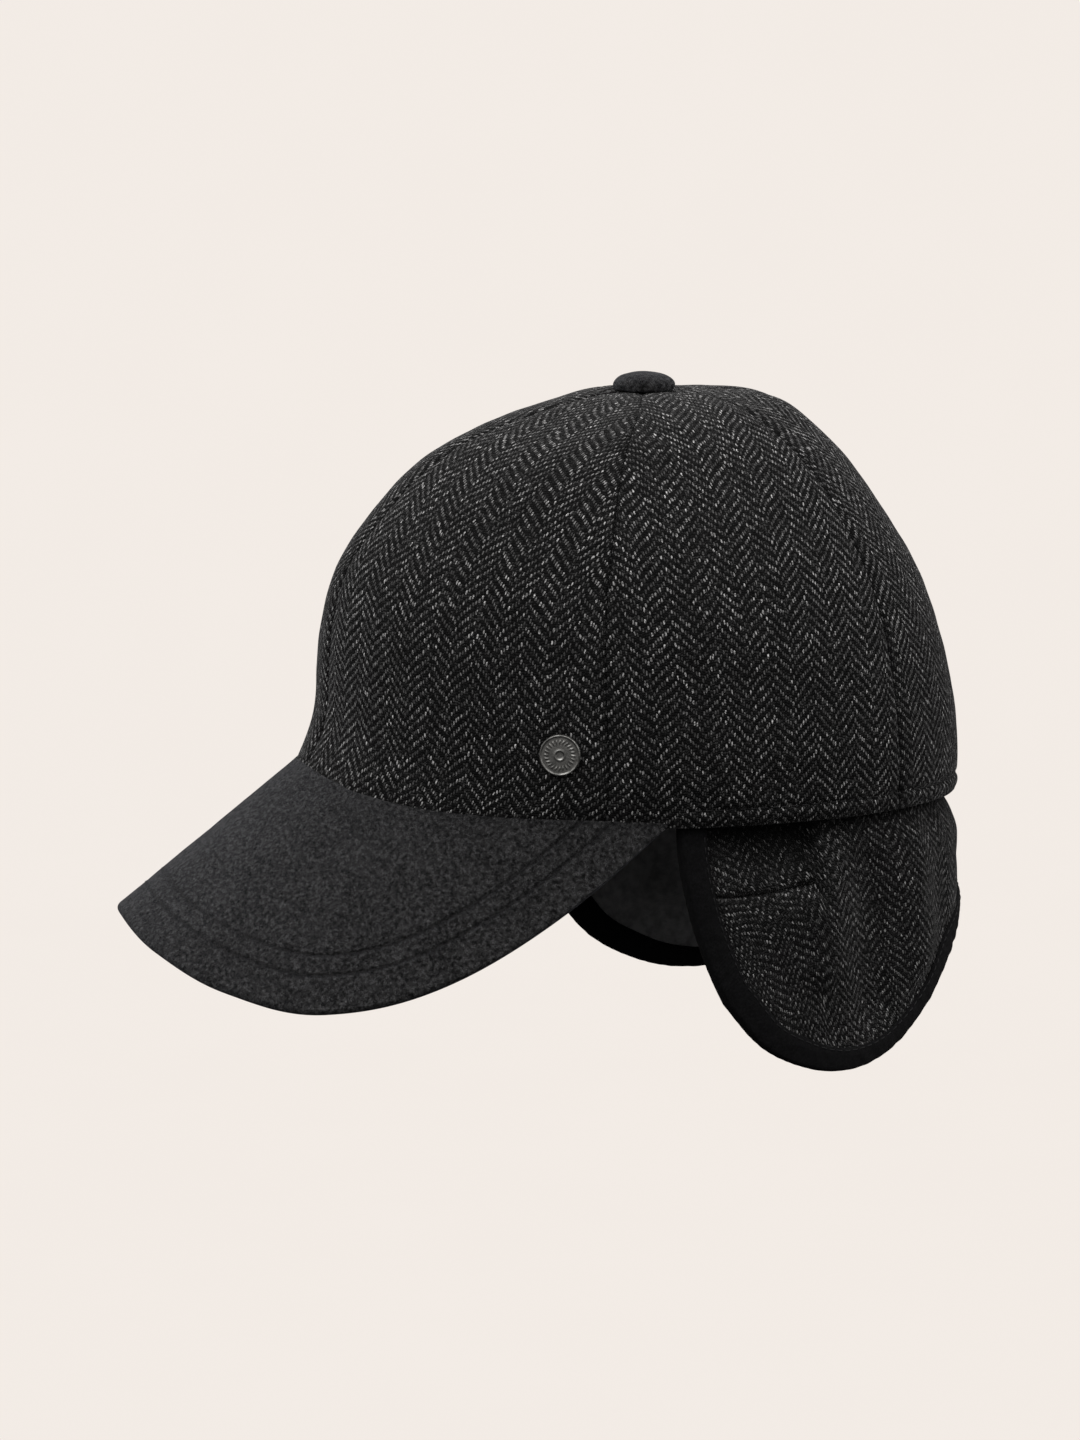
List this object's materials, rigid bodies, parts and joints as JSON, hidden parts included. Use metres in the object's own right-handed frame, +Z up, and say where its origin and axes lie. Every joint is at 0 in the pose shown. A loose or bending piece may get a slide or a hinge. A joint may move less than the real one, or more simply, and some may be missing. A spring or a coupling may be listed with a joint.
{
  "type": "six panel wool cap with an arched peak and an ear and nape flap",
  "caption": "Wool cap with a domed crown, an arched peak, a covered top button and a bound flap that hangs from ear to ear round the nape.",
  "frame": {"origin": "centre of the head opening, level with the rim at the ears", "axes": "+X to the wearer's left, +Y to the back of the head, +Z up through the top of the crown"},
  "size_m": [0.1732, 0.2637, 0.2021],
  "materials": {
    "herringbone": "charcoal and grey wool herringbone, brushed",
    "melton": "charcoal felted wool melton",
    "tape": "black folded binding tape, matt",
    "pewter": "pewter grey metal, satin"
  },
  "bodies": {
    "root": {"crown_panel_front_left": "herringbone", "crown_panel_front_right": "herringbone", "crown_panel_side_left": "herringbone", "crown_panel_side_right": "herringbone", "crown_panel_back_left": "herringbone", "crown_panel_back_right": "herringbone", "top_button": "melton", "peak": "melton", "ear_flap": "herringbone", "flap_binding": "tape", "side_rivet": "pewter"}
  },
  "joints": []
}
